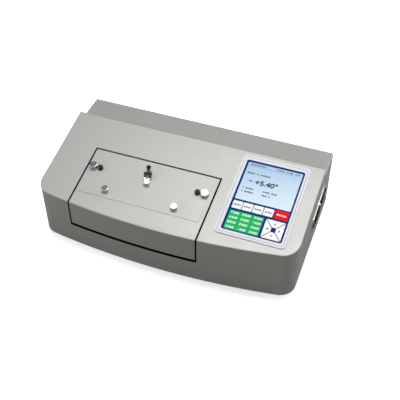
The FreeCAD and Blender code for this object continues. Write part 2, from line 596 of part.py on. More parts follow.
# ---- sample chamber ----
def chamber_tub():
    """Folded tray under the lid, with a shallow channel behind it for the hinge."""
    wall = TUB_WALL
    shell = box(TUB_X0 - wall, TUB_X1 + wall, FRONT_Y - 5, TUB_REAR_Y + wall, TUB_FLOOR_Z - wall, PANEL_Z)
    shell = shell.cut(box(TUB_X0, TUB_X1, FRONT_Y - 9, TUB_REAR_Y, TUB_FLOOR_Z, PANEL_Z + 1))
    channel = box(TUB_X0 - wall, TUB_X1 + wall, TUB_REAR_Y, CHANNEL_REAR_Y + wall,
                  CHANNEL_FLOOR_Z - wall, PANEL_Z)
    channel = channel.cut(box(TUB_X0, TUB_X1, TUB_REAR_Y + wall, CHANNEL_REAR_Y,
                              CHANNEL_FLOOR_Z, PANEL_Z + 1))
    arm_slot = box(TUB_X0, TUB_X1, TUB_REAR_Y - 1, TUB_REAR_Y + 5, HINGE_Z + 2, PANEL_Z + 1)
    tub = fuse([shell.cut(arm_slot), channel.cut(arm_slot)]).common(UNDER_PANEL)
    return tub.cut(cyl_x(WINDOW_R, TUB_X0 - 5, TUB_X1 + 5, AXIS_Y, AXIS_Z))


def lid_gasket():
    """A soft black strip round the lid, bonded to the panel's edge.

    It stands back from the lid, sits lower along the hinge side, lies on the ledge in front, and leaves
    room for the hinge arms.
    """
    clear = 0.4
    ledge_z = LID_BOTTOM_Z - FINGER_GAP
    gap = lid_zone(LID_GAP - 0.05, ledge_z).cut(lid_zone(clear, ledge_z - 1, FRONT_Y - 60))
    rear_zone = box(LID_X0 - 10, LID_X1 + 10, LID_REAR_Y + clear, LID_REAR_Y + 10, 0, PANEL_Z + 40)
    sides = gap.cut(rear_zone).common(envelope(GASKET_SINK)).cut(UNDER_PANEL)
    rear = gap.common(rear_zone).common(envelope(WALL)).cut(envelope(WALL + 2.5))
    rear = rear.common(box(TUB_X0, TUB_X1, LID_REAR_Y - 5, LID_REAR_Y + 10, 0, PANEL_Z))
    reach = HINGE_ARM_W / 2 + 2
    for offset in HINGE_ARM_OFFSETS:
        x = LID_MID_X + offset
        rear = rear.cut(box(x - reach, x + reach, LID_REAR_Y - 5, LID_REAR_Y + 12, 0, PANEL_Z + 40))
    ledge = plan_prism(GASKET_SINK, 0, ledge_z, ledge_z + LEDGE_SEAL_T)
    ledge = ledge.cut(plan_prism(WALL, 0, ledge_z - 1, PANEL_Z))
    ledge = ledge.common(box(LID_X0 - clear, LID_X1 + clear, FRONT_Y - 5, FRONT_Y + 30, 0, PANEL_Z))
    return Part.makeCompound(sides.Solids + rear.Solids + ledge.Solids)


def tube_cradle():
    """Rail with two V supports for the observation tube."""
    parts = [box(RAIL_X0, RAIL_X1, AXIS_Y - RAIL_HALF, AXIS_Y + RAIL_HALF,
                 TUB_FLOOR_Z, TUB_FLOOR_Z + RAIL_T)]
    for x in CRADLE_XS:
        x0, x1, open_half = x - CRADLE_HALF_L, x + CRADLE_HALF_L, CRADLE_HALF_W + 1
        block = box(x0, x1, AXIS_Y - CRADLE_HALF_W, AXIS_Y + CRADLE_HALF_W,
                    TUB_FLOOR_Z + RAIL_T - 1, AXIS_Z - 14)
        vee = face_of([(x0 - 1, AXIS_Y, AXIS_Z - CRADLE_VEE),
                       (x0 - 1, AXIS_Y - open_half, AXIS_Z - CRADLE_VEE + open_half),
                       (x0 - 1, AXIS_Y + open_half, AXIS_Z - CRADLE_VEE + open_half)])
        parts.append(block.cut(vee.extrude(V(x1 - x0 + 2, 0, 0))))
    return fuse(parts)


def chamber_windows():
    discs = []
    for x0 in (TUB_X0 - TUB_WALL, TUB_X1):
        discs.append(cyl_x(WINDOW_R - 0.05, x0, x0 + WINDOW_T, AXIS_Y, AXIS_Z))
    return Part.makeCompound(discs)


# ---- display and keypad ----
def keypad_bezel():
    flange = panel_block(*BEZEL, 0, BEZEL_T, 8)
    edge = [e for e in flange.Edges if e.Length > 10 and on_top(e, BEZEL_T)]
    flange = flange.makeFillet(0.7, edge)
    rim = panel_block(*shrink(BEZEL, BEZEL_RIM + FIT_GAP), BOARD_TOP, 0.1, 3.8)
    bezel = fuse([flange, rim])
    bezel = bezel.cut(panel_block(*BLUE, FILM_TOP - FILM_T, 5, 4))
    return bezel.cut(panel_block(*shrink(BLUE, FILM_LEDGE), -10, 5, 2.5))


def on_top(edge, w):
    """Whether an edge lies at height w above the panel's surface."""
    middle = edge.CenterOfMass
    height = (middle.z - PANEL_Z) * math.cos(SLOPE) - (middle.y - PANEL_Y) * math.sin(SLOPE)
    return abs(height - w) < 0.05


def keypad_overlay():
    film = panel_block(*shrink(BLUE, 0.1), FILM_TOP - FILM_T, FILM_TOP, 3.9)
    film = film.cut(panel_block(*SCREEN, -5, 5, 2.5))
    for _, rect in key_rects():
        film = film.cut(panel_block(*rect, -5, 5))
    return cut_all(film, [arrow_window(turn) for turn in range(4)])


def cell_rects(area, columns, rows, gap):
    """Equal cells of an area, row by row from the rear, with a gap between neighbours."""
    x0, x1, y0, y1 = area
    step_x, step_y = (x1 - x0 + gap) / columns, (y1 - y0 + gap) / rows
    for row in range(rows):
        for column in range(columns):
            left, top = x0 + column * step_x, y1 - row * step_y
            yield left, left + step_x - gap, top - step_y + gap, top


DIGIT_NAMES = ("7", "8", "9", "4", "5", "6", "1", "2", "3", "0", "point", "sign")
ARROW_NAMES = ("up", "left", "down", "right")


def key_rects():
    for number, rect in enumerate(cell_rects(SOFT_KEYS, 4, 1, KEY_GAP), 1):
        yield f"soft_key_{number}", rect
    yield "start_key", START_KEY
    for name, rect in zip(DIGIT_NAMES, cell_rects(DIGIT_KEYS, 3, 4, KEY_GAP)):
        yield f"key_{name}", rect


def plunger(cap, x, y):
    """A key: its cap, and a stem that reaches down to the switch on the board."""
    stem = panel_cyl(KEY_STEM_R, x, y, BOARD_TOP + KEY_TRAVEL + 0.2, -1.0)
    return fuse([cap, stem])


def flat_key(rect):
    x0, x1, y0, y1 = shrink(rect, 0.15)
    cap = panel_block(x0, x1, y0, y1, KEY_BOTTOM, KEY_TOP, 1.0)
    return plunger(cap, (x0 + x1) / 2, (y0 + y1) / 2)


def quarter_turns(point, turn):
    x, v = point
    for _ in range(turn):
        x, v = -v, x
    return x, v


def arrow_prism(turn, clear, w0, w1):
    """One quarter of the arrow field, between its diagonals and outside its hub."""
    x0, x1, y0, y1 = ARROW_KEYS
    half_x, half_v = (x1 - x0) / 2, (up_slope(y1) - up_slope(y0)) / 2
    slit, hub, edge = ARROW_SLIT + clear, ARROW_HUB + clear, 1 - clear
    corners = [(slit - edge, edge), (edge - slit, edge), (hub - slit, hub), (slit - hub, hub)]
    points = []
    for corner in corners:
        u, w = quarter_turns(corner, turn)
        points.append(((x0 + x1) / 2 + u * half_x, up_slope((y0 + y1) / 2) + w * half_v, w0))
    return on_panel(face_of(points).extrude(V(0, 0, w1 - w0)))


def arrow_window(turn):
    return arrow_prism(turn, 0.0, -5, 5)


def arrow_key(turn):
    x0, x1, y0, y1 = ARROW_KEYS
    u, w = quarter_turns((0, ARROW_STEM), turn)
    cap = arrow_prism(turn, 0.01, KEY_BOTTOM, KEY_TOP)
    return plunger(cap, (x0 + x1) / 2 + u * (x1 - x0) / 2, (y0 + y1) / 2 + w * (y1 - y0) / 2)


def lcd_panel():
    return panel_block(*shrink(SCREEN, -0.8), BOARD_TOP, FILM_TOP - FILM_T - 0.05, 1.5)


def panel_board():
    board = panel_block(*shrink(BEZEL, 3.0), BOARD_TOP - BOARD_T, BOARD_TOP)
    return board.cut(panel_block(150, 165, -20, 30, -20, 0))


# ---- optics ----
def optical_bench():
    plate = box(-234, 234, AXIS_Y - 28, AXIS_Y + 30, BENCH_TOP_Z - BENCH_T, BENCH_TOP_Z)
    parts = [plate]
    leg_h = BENCH_TOP_Z - BENCH_T - BASE_TOP_Z + 1
    for x in BENCH_LEG_XS:
        for side in (-1, 1):
            parts.append(cyl(BENCH_LEG_R, leg_h, (x, AXIS_Y + side * 20, BASE_TOP_Z)))
    saddle_x0, saddle_x1 = COIL_X0 + 8, COIL_X1 - 8
    saddle = box(saddle_x0, saddle_x1, AXIS_Y - 14, AXIS_Y + 14, BENCH_TOP_Z - 1, AXIS_Z - 8)
    parts.append(saddle.cut(cyl_x(COIL_R - 0.95, saddle_x0 - 1, saddle_x1 + 1, AXIS_Y, AXIS_Z)))
    return fuse(parts)


def lamp_housing():
    """Block with a bore for the lamp, lens, filter and polariser, and cooling fins at its far end."""
    y0, y1 = AXIS_Y - LAMP_HALF, AXIS_Y + LAMP_HALF
    fin_x = LAMP_X0 + LAMP_FIN_L
    block = box(fin_x, LAMP_X1, y0, y1, BENCH_TOP_Z, AXIS_Z + 20)
    fins = [box(LAMP_X0, fin_x + 0.5, y0, y1, z, z + 2.5) for z in range(52, 112, 7)]
    return fuse([block] + fins).cut(cyl_x(WINDOW_R, fin_x + 6, LAMP_X1 + 1, AXIS_Y, AXIS_Z))


def led_lamp():
    base = cyl_x(8, LAMP_X0 + 18, LAMP_X0 + 20, AXIS_Y, AXIS_Z)
    dome = Part.makeSphere(3.5, V(LAMP_X0 + 20, AXIS_Y, AXIS_Z))
    dome = dome.common(cyl_x(3.5, LAMP_X0 + 19, LAMP_X0 + 25, AXIS_Y, AXIS_Z))
    return base.fuse(dome).removeSplitter()


def plano_convex(x0, radius, edge, centre):
    """A lens with its flat face at x0 and its curved face towards +X."""
    rise = centre - edge
    ball_r = (radius ** 2 + rise ** 2) / (2 * rise)
    ball = Part.makeSphere(ball_r, V(x0 + centre - ball_r, AXIS_Y, AXIS_Z))
    return ball.common(cyl_x(radius, x0, x0 + centre + 1, AXIS_Y, AXIS_Z))


def lenses():
    return Part.makeCompound([plano_convex(LENS_X, WINDOW_R - 0.05, 1.5, 5.0),
                              plano_convex(DETECTOR_X0 + 2, DETECTOR_BORE - 0.05, 1.5, 4.0)])


def interference_filter():
    return cyl_x(WINDOW_R - 0.05, FILTER_X, FILTER_X + 4, AXIS_Y, AXIS_Z)


def polariser():
    return cyl_x(WINDOW_R - 0.05, POLARISER_X, POLARISER_X + 3, AXIS_Y, AXIS_Z)


def modulator_coil():
    core = tube_x(8, ROD_R + 0.05, COIL_X0, COIL_X1, AXIS_Y, AXIS_Z)
    winding = cyl_x(COIL_R - 1, COIL_X0 + 2, COIL_X1 - 2, AXIS_Y, AXIS_Z)
    cheeks = [cyl_x(COIL_R + 1, x, x + 2, AXIS_Y, AXIS_Z) for x in (COIL_X0, COIL_X1 - 2)]
    bore = cyl_x(ROD_R + 0.05, COIL_X0 - 1, COIL_X1 + 1, AXIS_Y, AXIS_Z)
    return fuse([core, winding] + cheeks).cut(bore)


def modulator_rod():
    return cyl_x(ROD_R, COIL_X0 + 2, COIL_X1 - 2, AXIS_Y, AXIS_Z)


def analyser_housing():
    x0, x1 = UPRIGHT_XS[0][0], UPRIGHT_XS[1][1]
    parts = [box(x0, x1, AXIS_Y - 27, AXIS_Y + 27, BENCH_TOP_Z, BENCH_TOP_Z + 6)]
    for left, right in UPRIGHT_XS:
        parts.append(box(left, right, AXIS_Y - 19, AXIS_Y + 19, BENCH_TOP_Z + 5, AXIS_Z + 19))
    for y0, y1 in WORM_EARS:
        parts.append(box(WHEEL_X - 6, WHEEL_X + 6, y0, y1, BENCH_TOP_Z + 5, WORM_Z + 5))
    housing = fuse(parts)
    housing = housing.cut(cyl_x(BEARING_R, x0 - 1, x1 + 1, AXIS_Y, AXIS_Z))
    return housing.cut(cyl_y(SHAFT_R + 0.05, -110, -40, WHEEL_X, WORM_Z))


def analyser_bearings():
    return Part.makeCompound([tube_x(BEARING_R, HUB_R + 0.05, left, right, AXIS_Y, AXIS_Z)
                              for left, right in UPRIGHT_XS])


def gear_outline(teeth, root, tip, root_half, tip_half):
    """Straight-flanked teeth in the plane across X; a gap points straight down."""
    points = []
    for tooth in range(teeth):
        middle = -math.pi / 2 + (tooth + 0.5) * 2 * math.pi / teeth
        for radius, half in ((root, -root_half), (tip, -tip_half), (tip, tip_half), (root, root_half)):
            angle = middle + half / radius
            points.append((0, radius * math.cos(angle), radius * math.sin(angle)))
    return points


def analyser_wheel():
    """Worm wheel on its hollow hub."""
    outline = gear_outline(GEAR_TEETH, GEAR_R - TOOTH_BELOW, GEAR_R + TOOTH_ABOVE,
                           PITCH * 0.35, PITCH * 0.12)
    gear = face_of(outline).extrude(V(WHEEL_W, 0, 0))
    gear.translate(V(WHEEL_X - WHEEL_W / 2, AXIS_Y, AXIS_Z))
    hub = cyl_x(HUB_R, UPRIGHT_XS[0][0], UPRIGHT_XS[1][1], AXIS_Y, AXIS_Z)
    wheel = gear.fuse(hub)
    return wheel.cut(cyl_x(HUB_BORE, 130, 180, AXIS_Y, AXIS_Z)).removeSplitter()


def analyser_film():
    return cyl_x(HUB_BORE - 0.02, WHEEL_X - 1.5, WHEEL_X + 1.5, AXIS_Y, AXIS_Z)


def worm_shaft():
    """Worm and shaft in one piece, reaching into the motor."""
    root, tip = WORM_R - TOOTH_BELOW, WORM_R + TOOTH_ABOVE
    sink = 0.3
    profile = Part.makePolygon([
        V(root - sink, 0, -PITCH * 0.29), V(tip, 0, -PITCH * 0.09), V(tip, 0, PITCH * 0.09),
        V(root - sink, 0, PITCH * 0.29), V(root - sink, 0, -PITCH * 0.29)])
    helix = Part.makeHelix(PITCH, WORM_L, WORM_R)
    thread = Part.Wire(helix.Edges).makePipeShell([profile], True, True)
    core = cyl(root, WORM_L + PITCH, (0, 0, -PITCH / 2))
    worm = core.fuse(thread)
    worm.translate(V(0, 0, -WORM_L / 2))
    worm.rotate(ORIGIN, Z_AXIS, WORM_PHASE)
    worm.rotate(ORIGIN, X_AXIS, -90)
    worm.translate(V(WHEEL_X, AXIS_Y, WORM_Z))
    shaft = cyl_y(SHAFT_R, WORM_EARS[0][0] - 2, MOTOR_Y0 + 8, WHEEL_X, WORM_Z)
    return worm.fuse(shaft)


def drive_motor():
    body = cyl_y(MOTOR_R, MOTOR_Y0, MOTOR_Y1, WHEEL_X, WORM_Z)
    body = body.fuse(cyl_y(MOTOR_R - 3, MOTOR_Y1, MOTOR_Y1 + 4, WHEEL_X, WORM_Z))
    foot = box(WHEEL_X - 10, WHEEL_X + 10, MOTOR_Y0 + 3, MOTOR_Y0 + 11, BENCH_TOP_Z, WORM_Z - 4)
    body = fuse([body, foot])
    return body.cut(cyl_y(SHAFT_R + 0.05, MOTOR_Y0 - 1, MOTOR_Y0 + 9, WHEEL_X, WORM_Z))


def detector_housing():
    can = cyl_x(DETECTOR_R, DETECTOR_X0, DETECTOR_X1, AXIS_Y, AXIS_Z)
    foot = box(DETECTOR_X0 + 8, DETECTOR_X1 - 8, AXIS_Y - 12, AXIS_Y + 12, BENCH_TOP_Z, AXIS_Z - 8)
    housing = fuse([can, foot])
    return housing.cut(cyl_x(DETECTOR_BORE, DETECTOR_X0 - 1, DETECTOR_X0 + 24, AXIS_Y, AXIS_Z))


# ---- electronics ----
def main_board():
    x0, x1, y0, y1 = MAIN_BOARD
    top = MAIN_BOARD_Z + MAIN_BOARD_T
    pieces = [box(x0, x1, y0, y1, MAIN_BOARD_Z, top)]
    pieces += [box(x, x + width, y, y + depth, top, top + height) for x, y, width, depth, height in CHIPS]
    pieces += [cyl(5, 16, (x, y, top)) for x, y in CAPACITORS]
    return Part.makeCompound(pieces)


def power_supply():
    """A thin-walled can with slots in its lid."""
    x0, x1, y0, y1 = SUPPLY
    wall, top = SUPPLY_WALL, SUPPLY_TOP_Z
    can = box(x0, x1, y0, y1, BASE_TOP_Z, top)
    can = can.cut(box(x0 + wall, x1 - wall, y0 + wall, y1 - wall, BASE_TOP_Z + wall, top - wall))
    starts = [x0 + SUPPLY_EDGE + number * 2 * SUPPLY_SLOT_W for number in range(SUPPLY_SLOTS)]
    return cut_all(can, [box(x, x + SUPPLY_SLOT_W, y0 + SUPPLY_EDGE, y1 - SUPPLY_EDGE, top - 2, top + 1)
                         for x in starts])


MAKERS = (
    top_cover, rear_panel, base_plate, rubber_feet, case_screws, power_entry_plate, mains_inlet,
    power_rocker, chamber_lid, lid_studs, lid_plugs, lid_lever, lid_hinge_brackets, lid_hinge_pin,
    chamber_tub, lid_gasket, tube_cradle, chamber_windows, keypad_bezel, keypad_overlay, lcd_panel,
    panel_board, optical_bench, lamp_housing, led_lamp, lenses, interference_filter, polariser,
    modulator_coil, modulator_rod, analyser_housing, analyser_bearings, analyser_wheel, analyser_film,
    worm_shaft, drive_motor, detector_housing, main_board, power_supply,
)


def build():
    os.makedirs("parts", exist_ok=True)
    for make in MAKERS:
        save(make.__name__, make())
    for name, rect in key_rects():
        save(name, flat_key(rect))
    for turn, name in enumerate(ARROW_NAMES):
        save(f"arrow_key_{name}", arrow_key(turn))


build()
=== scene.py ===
"""Looks of a bench-top automatic polarimeter: materials, key legends, screen picture, light and camera."""

import json
import math

import bmesh
import bpy
from mathutils import Matrix, Vector


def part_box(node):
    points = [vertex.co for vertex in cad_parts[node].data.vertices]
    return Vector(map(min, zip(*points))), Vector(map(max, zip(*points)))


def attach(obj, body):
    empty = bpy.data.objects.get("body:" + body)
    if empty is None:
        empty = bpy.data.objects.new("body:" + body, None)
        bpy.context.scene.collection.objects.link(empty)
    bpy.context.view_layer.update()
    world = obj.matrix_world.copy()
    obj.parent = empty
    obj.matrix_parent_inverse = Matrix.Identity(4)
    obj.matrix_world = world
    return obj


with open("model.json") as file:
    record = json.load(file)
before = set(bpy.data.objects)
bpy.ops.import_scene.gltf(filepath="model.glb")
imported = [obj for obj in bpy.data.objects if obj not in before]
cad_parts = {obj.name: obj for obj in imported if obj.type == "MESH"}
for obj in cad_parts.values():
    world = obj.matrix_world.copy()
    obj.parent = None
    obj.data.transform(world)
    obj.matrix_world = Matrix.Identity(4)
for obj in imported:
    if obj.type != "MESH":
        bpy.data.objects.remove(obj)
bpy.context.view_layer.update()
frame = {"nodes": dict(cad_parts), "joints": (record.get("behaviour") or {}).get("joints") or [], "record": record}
NODES = frame["nodes"]
BODIES = frame["record"]["behaviour"]["bodies"]
JOINTS = {joint["name"]: joint for joint in frame["joints"]}
MM = 0.001


# ---- the sloping panel's own frame: x to the right, v up the slope, w out of the surface ----
X_AXIS = Vector((1, 0, 0))
W_AXIS = -Vector(JOINTS["start_key_press"]["axis"]).normalized()
V_AXIS = W_AXIS.cross(X_AXIS)
SURFACE = W_AXIS * W_AXIS.dot(Vector(JOINTS["lid_lever_turn"]["pos_m"]))
PANEL_FRAME = Matrix.Translation(SURFACE) @ Matrix((X_AXIS, V_AXIS, W_AXIS)).transposed().to_4x4()
FROM_PANEL = PANEL_FRAME.inverted()


def span(node):
    """Lowest and highest (x, v, w) of a CAD node, in the panel's frame."""
    points = [FROM_PANEL @ vertex.co for vertex in NODES[node].data.vertices]
    low = Vector(min(p[i] for p in points) for i in range(3))
    high = Vector(max(p[i] for p in points) for i in range(3))
    return low, high


def body_of(node):
    return next(body for body, members in BODIES.items() if node in members)


# ---- printed marks: thin closed solids drawn in the panel's frame ----
INK = 0.05 * MM               # thickness of print, half of it sunk into the surface
LOWER_LETTER = 0.16           # how much lower every third letter of a word-like row is, as a share
LETTER_WIDTH = 0.72           # a letter's width as a share of the step between letters
LETTER_ROUND = 0.14           # its corner radius, as a share of the same step
BOLDNESS = 0.04               # how far the digits' outline is pushed out, for letters one unit high


def rounded_outline(x0, x1, v0, v1, radius, steps=6):
    points = []
    corners = ((x1 - radius, v1 - radius), (x0 + radius, v1 - radius),
               (x0 + radius, v0 + radius), (x1 - radius, v0 + radius))
    for quarter, (x, v) in enumerate(corners):
        for step in range(steps + 1):
            angle = math.pi / 2 * (quarter + step / steps)
            points.append((x + radius * math.cos(angle), v + radius * math.sin(angle)))
    return points


def add_prism(mesh, points, w0, w1):
    low = [mesh.verts.new((x, v, w0)) for x, v in points]
    high = [mesh.verts.new((x, v, w1)) for x, v in points]
    mesh.faces.new(reversed(low))
    mesh.faces.new(high)
    for i in range(len(points)):
        j = (i + 1) % len(points)
        mesh.faces.new((low[i], low[j], high[j], high[i]))


def add_ring(mesh, outer, inner, w0, w1):
    loops = [[mesh.verts.new((x, v, w)) for x, v in points] for points in (outer, inner) for w in (w0, w1)]
    outer_low, outer_high, inner_low, inner_high = loops
    for i in range(len(outer)):
        j = (i + 1) % len(outer)
        mesh.faces.new((outer_low[i], outer_low[j], outer_high[j], outer_high[i]))
        mesh.faces.new((inner_low[j], inner_low[i], inner_high[i], inner_high[j]))
        mesh.faces.new((outer_high[i], outer_high[j], inner_high[j], inner_high[i]))
        mesh.faces.new((outer_low[j], outer_low[i], inner_low[i], inner_low[j]))


def add_word(mesh, x0, x1, v0, v1, letters, w0, w1):
    """A word-like row of small rounded blocks that spells nothing."""
    pitch = (x1 - x0) / letters
    for i in range(letters):
        left, top = x0 + i * pitch, v1 - (v1 - v0) * (LOWER_LETTER if i % 3 == 1 else 0)
        outline = rounded_outline(left, left + pitch * LETTER_WIDTH, v0, top, pitch * LETTER_ROUND, 2)
        add_prism(mesh, outline, w0, w1)


def add_text(mesh, text, x0, x1, v0, v1, w0, w1):
    """Digits and signs in the built-in plain font, fitted to a rectangle."""
    curve = bpy.data.curves.new("digits", "FONT")
    curve.body = text
    curve.extrude = 0.5
    curve.offset = BOLDNESS
    holder = bpy.data.objects.new("digits", curve)
    bpy.context.scene.collection.objects.link(holder)
    shape = bpy.data.meshes.new_from_object(holder.evaluated_get(bpy.context.evaluated_depsgraph_get()))
    low = [min(p.co[i] for p in shape.vertices) for i in range(3)]
    high = [max(p.co[i] for p in shape.vertices) for i in range(3)]
    for vertex in shape.vertices:
        for i, (start, end) in enumerate(((x0, x1), (v0, v1), (w0, w1))):
            share = (vertex.co[i] - low[i]) / (high[i] - low[i])
            vertex.co[i] = start + share * (end - start)
    mesh.from_mesh(shape)
    bpy.data.objects.remove(holder)
    bpy.data.curves.remove(curve)
    bpy.data.meshes.remove(shape)


def printed(name, mesh, body, material):
    """Turns a drawing into a piece that lies on the panel and rides on a body."""
    bmesh.ops.remove_doubles(mesh, verts=mesh.verts, dist=0.001 * MM)
    bmesh.ops.recalc_face_normals(mesh, faces=mesh.faces)
    data = bpy.data.meshes.new(name)
    mesh.to_mesh(data)
    mesh.free()
    data.transform(PANEL_FRAME)
    data.materials.append(material)
    piece = bpy.data.objects.new(name, data)
    bpy.context.scene.collection.objects.link(piece)
    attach(piece, body)


# ---- shader building ----
class Shader:
    """A node material, built one call at a time. Lengths are in metres, in the object's own frame."""

    def __init__(self, name):
        self.material = bpy.data.materials.new(name)
        self.material.use_nodes = True
        self.tree = self.material.node_tree
        self.tree.nodes.clear()
        self.position = self.add("ShaderNodeTexCoord").outputs["Object"]

    def add(self, kind):
        return self.tree.nodes.new(kind)

    def feed(self, socket, value):
        if isinstance(value, bpy.types.NodeSocket):
            self.tree.links.new(value, socket)
        else:
            socket.default_value = value

    def maths(self, operation, first, second):
        node = self.add("ShaderNodeMath")
        node.operation = operation
        self.feed(node.inputs[0], first)
        self.feed(node.inputs[1], second)
        return node.outputs[0]

    def noise(self, scale, detail, stretch=(1, 1, 1)):
        mapping = self.add("ShaderNodeMapping")
        self.feed(mapping.inputs["Vector"], self.position)
        self.feed(mapping.inputs["Scale"], stretch)
        texture = self.add("ShaderNodeTexNoise")
        self.feed(texture.inputs["Vector"], mapping.outputs[0])
        self.feed(texture.inputs["Scale"], scale)
        self.feed(texture.inputs["Detail"], detail)
        return texture.outputs["Fac"]

    def spread(self, value, low, high, start=0.3, end=0.7):
        """Maps start..end of a value to low..high, clamped."""
        node = self.add("ShaderNodeMapRange")
        self.feed(node.inputs["Value"], value)
        for name, number in (("From Min", start), ("From Max", end), ("To Min", low), ("To Max", high)):
            node.inputs[name].default_value = number
        return node.outputs[0]

    def mix(self, share, first, second):
        node = self.add("ShaderNodeMix")
        node.data_type = "RGBA"
        self.feed(node.inputs[0], share)
        self.feed(node.inputs[6], first)
        self.feed(node.inputs[7], second)
        return node.outputs[2]

    def inside(self, low, high, axes=((1, 0, 0), (0, 1, 0), (0, 0, 1))):
        """1 inside a box, 0 outside. The box's sides run along the axes, through the object's origin."""
        share = 1.0
        for axis, start, end in zip(axes, low, high):
            along = self.add("ShaderNodeVectorMath")
            along.operation = "DOT_PRODUCT"
            self.feed(along.inputs[0], self.position)
            along.inputs[1].default_value = axis
            above = self.maths("GREATER_THAN", along.outputs["Value"], start)
            below = self.maths("LESS_THAN", along.outputs["Value"], end)
            share = self.maths("MULTIPLY", self.maths("MULTIPLY", above, below), share)
        return share

    def bump(self, height, depth, edge=0.3 * MM):
        """A bump of a real depth, over edges softened by a small radius."""
        bevel = self.add("ShaderNodeBevel")
        bevel.samples = 4
        bevel.inputs["Radius"].default_value = edge
        node = self.add("ShaderNodeBump")
        self.feed(node.inputs["Distance"], depth)
        self.feed(node.inputs["Height"], height)
        self.feed(node.inputs["Normal"], bevel.outputs[0])
        return node.outputs[0]

    def principled(self, colour, roughness, metallic=0.0, normal=None, **more):
        node = self.add("ShaderNodeBsdfPrincipled")
        values = {"Base Color": colour, "Roughness": roughness, "Metallic": metallic}
        values.update({key.replace("_", " "): value for key, value in more.items()})
        if normal is not None:
            values["Normal"] = normal
        for key, value in values.items():
            self.feed(node.inputs[key], value)
        return node.outputs[0]

    def finish(self, surface):
        output = self.add("ShaderNodeOutputMaterial")
        self.feed(output.inputs["Surface"], surface)
        return self.material


def tint(colour, factor=1.0):
    return tuple(channel * factor for channel in colour) + (1.0,)


# ---- material families ----
def grained(name, colour, roughness, metallic=0.0, depth=0.02 * MM, scale=1500, contrast=0.04, **more):
    """Paint or moulded plastic: fine grain, slight mottling of tone, and a sheen that varies a little."""
    s = Shader(name)
    mottle = s.spread(s.noise(14, 4), 0, 1)
    tone = s.mix(mottle, tint(colour, 1 - contrast), tint(colour, 1 + contrast))
    sheen = s.spread(s.noise(40, 3), roughness - 0.04, roughness + 0.05)
    normal = s.bump(s.noise(scale, 2), depth)
    return s.finish(s.principled(tone, sheen, metallic, normal, **more))


def brushed(name, colour, roughness, stretch=(1, 40, 40)):
    """Metal with fine lines drawn along the axis that is stretched least."""
    s = Shader(name)
    lines = s.noise(90, 5, stretch)
    tone = s.mix(s.spread(lines, 0, 1), tint(colour, 0.86), tint(colour, 1.08))
    sheen = s.spread(lines, roughness - 0.06, roughness + 0.08)
    return s.finish(s.principled(tone, sheen, 1.0, s.bump(lines, 0.01 * MM)))


def polished(name, colour=(0.62, 0.62, 0.63)):
    """Bright plated metal with faint smudges."""
    s = Shader(name)
    smudge = s.noise(220, 4)
    sheen = s.spread(smudge, 0.06, 0.18)
    return s.finish(s.principled(tint(colour), sheen, 1.0, s.bump(smudge, 0.004 * MM)))


def optical(name, colour, roughness=0.02):
    """Glass with a faint surface haze."""
    s = Shader(name)
    haze = s.spread(s.noise(120, 3), roughness, roughness + 0.04)
    return s.finish(s.principled(tint(colour), haze, 0.0, s.bump(s.noise(60, 2), 0.002 * MM, 0.1 * MM),
                                 Transmission_Weight=0.9, IOR=1.5))


def case_paint(name, colour):
    """Fine silver paint: metallic flake under satin lacquer."""
    s = Shader(name)
    flake = s.spread(s.noise(2400, 1), 0, 1)
    mottle = s.spread(s.noise(7, 3), 0.985, 1.015)
    tone = s.mix(flake, tint(colour, 0.94), tint(colour, 1.06))
    scaled = s.add("ShaderNodeHueSaturation")
    s.feed(scaled.inputs["Color"], tone)
    s.feed(scaled.inputs["Value"], mottle)
    sheen = s.spread(s.noise(30, 3), 0.43, 0.49)
    normal = s.bump(s.noise(1300, 3), 0.012 * MM, 0.5 * MM)
    return s.finish(s.principled(scaled.outputs[0], sheen, 0.5, normal))


def circuit_board(name, node, board_thickness):
    """Green solder mask with a brick-like pattern of traces; whatever stands above the board is black."""
    s = Shader(name)
    low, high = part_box(node)
    bricks = s.add("ShaderNodeTexBrick")
    s.feed(bricks.inputs["Vector"], s.position)
    s.feed(bricks.inputs["Scale"], 160)
    s.feed(bricks.inputs["Mortar Size"], 0.03)
    traces = s.spread(bricks.outputs["Fac"], 0, 1, 0.2, 0.8)
    mask = s.mix(traces, tint((0.01, 0.14, 0.06)), tint((0.03, 0.24, 0.10)))
    part = s.inside((low.x, low.y, low.z + board_thickness), high + Vector((MM, MM, MM)))
    tone = s.mix(part, mask, tint((0.02, 0.02, 0.022)))
    return s.finish(s.principled(tone, 0.45, 0.0, s.bump(s.noise(700, 2), 0.02 * MM)))


def winding(name):
    """Enamelled copper wire, turn beside turn along X."""
    s = Shader(name)
    wave = s.add("ShaderNodeTexWave")
    s.feed(wave.inputs["Vector"], s.position)
    s.feed(wave.inputs["Scale"], 320)
    turns = wave.outputs["Fac"]
    tone = s.mix(turns, tint((0.28, 0.10, 0.03)), tint((0.75, 0.35, 0.14)))
    return s.finish(s.principled(tone, 0.3, 0.9, s.bump(turns, 0.1 * MM, 0.1 * MM)))


def screen_picture(name):
    """A lit display: blue along the top, paler towards its lower right, behind a glossy window."""
    s = Shader(name)
    low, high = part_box("lcd_panel")
    split = s.add("ShaderNodeSeparateXYZ")
    s.feed(split.inputs[0], s.position)
    across = s.spread(split.outputs[0], 0.25, 0, low.x, high.x)
    down = s.spread(split.outputs[1], 0, 0.75, low.y, high.y)
    share = s.maths("ADD", across, down)
    glow = s.mix(share, tint((0.66, 0.78, 0.86)), tint((0.32, 0.49, 0.70)))
    grid = s.spread(s.noise(1500, 1), 0.97, 1.03)
    sheen = s.spread(s.noise(60, 3), 0.14, 0.2)
    normal = s.bump(s.noise(400, 1), 0.004 * MM, 0.1 * MM)
    surface = s.principled(tint((0.05, 0.06, 0.07)), sheen, 0.0, normal,
                           Emission_Color=glow, Emission_Strength=grid, Specular_IOR_Level=0.2)
    return s.finish(surface)


